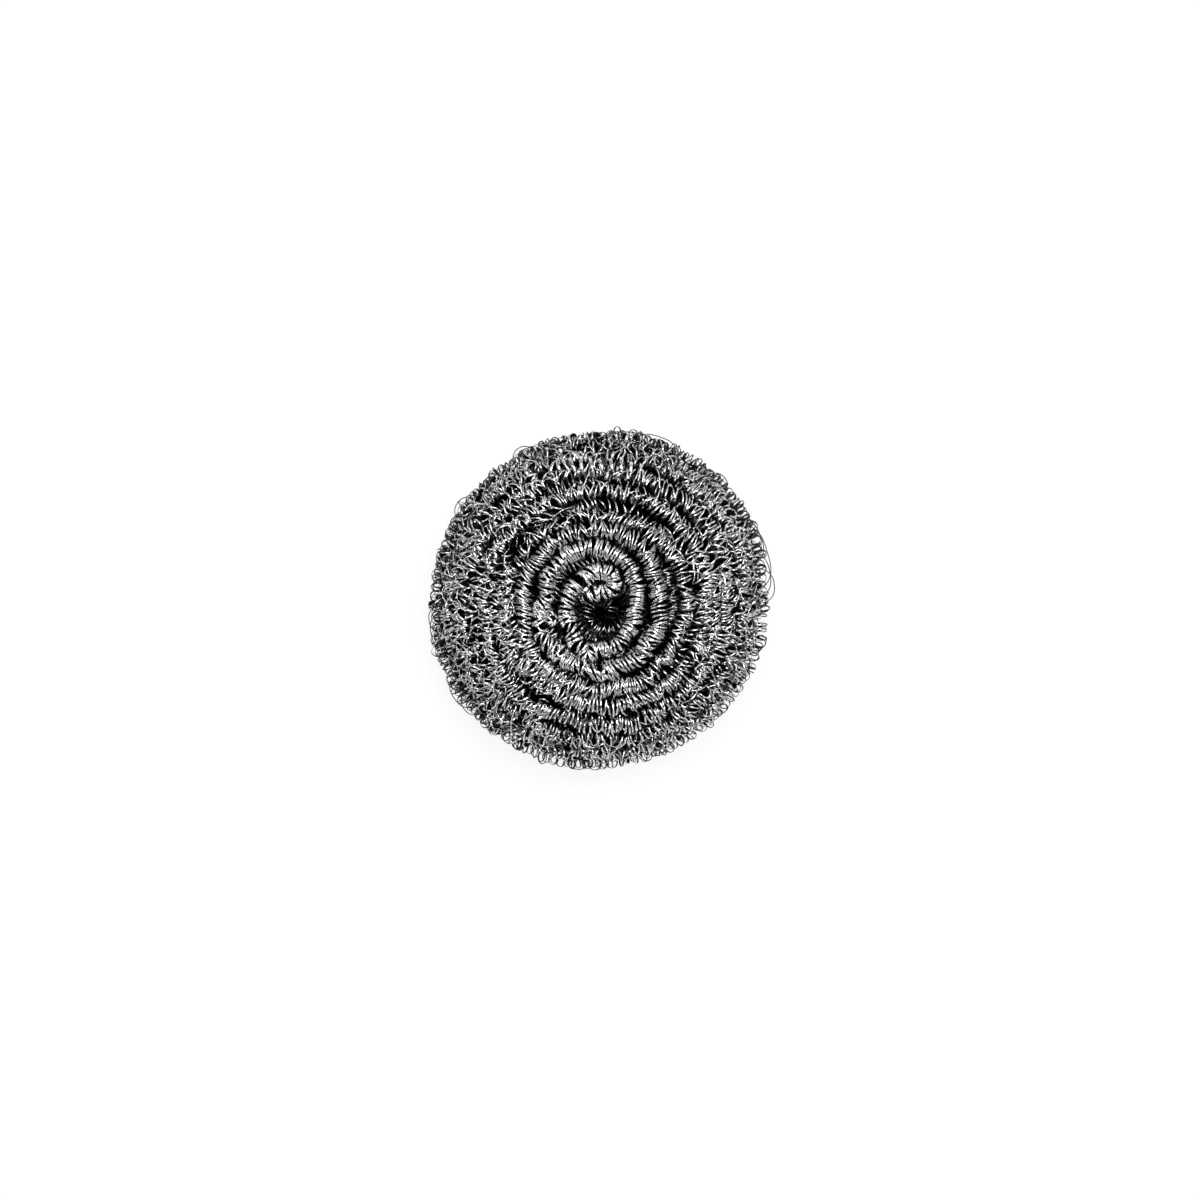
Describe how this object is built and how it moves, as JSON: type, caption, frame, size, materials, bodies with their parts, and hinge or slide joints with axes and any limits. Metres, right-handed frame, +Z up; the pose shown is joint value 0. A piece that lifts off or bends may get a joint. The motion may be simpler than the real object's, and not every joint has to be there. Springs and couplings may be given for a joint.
{
  "type": "metal scourer",
  "caption": "Bun-shaped scouring pad wound from one long curled flat steel wire, with a dimple in the middle of its top, for scrubbing pans by hand.",
  "frame": {"origin": "middle of the underside, on the surface that the pad lies on", "axes": "+Z up along the pad's winding axis, out of the dimple; +Y towards the top edge of the picture"},
  "size_m": [0.0898, 0.0899, 0.042],
  "materials": {
    "steel_wire": "bright flat-rolled stainless wire"
  },
  "bodies": {
    "root": {"wound_wire": "steel_wire"}
  },
  "joints": []
}
